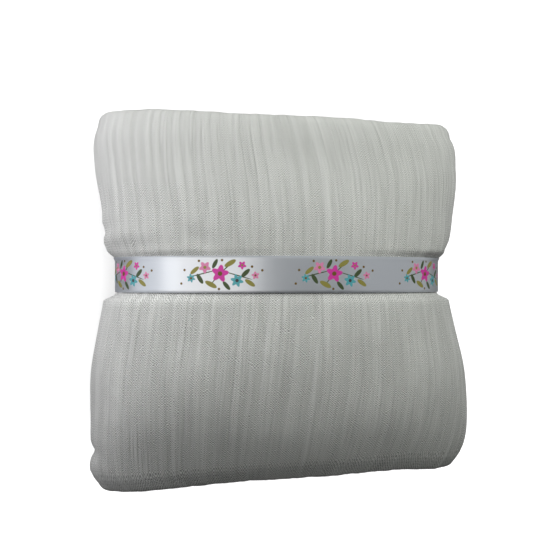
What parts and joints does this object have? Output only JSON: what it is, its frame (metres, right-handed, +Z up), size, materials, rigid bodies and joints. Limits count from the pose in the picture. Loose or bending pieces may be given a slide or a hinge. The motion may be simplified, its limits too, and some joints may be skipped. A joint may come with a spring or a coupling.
{
  "type": "rolled stroller blanket",
  "caption": "Crinkled muslin stroller blanket, folded and wound into a flattened oval roll that lies on its back, held round its waist by a printed satin ribbon.",
  "frame": {"origin": "centre of the roll's footprint, on the surface that it lies on", "axes": "+Z up, away from the surface; +Y along the roll's axis, towards the end nearer the ribbon; +X across the roll, to the right in the picture"},
  "size_m": [0.253, 0.2388, 0.1264],
  "materials": {
    "muslin": "matte crinkled gauze, off-white",
    "satin": null
  },
  "bodies": {
    "root": {"blanket": "muslin", "ribbon": "satin"}
  },
  "joints": []
}
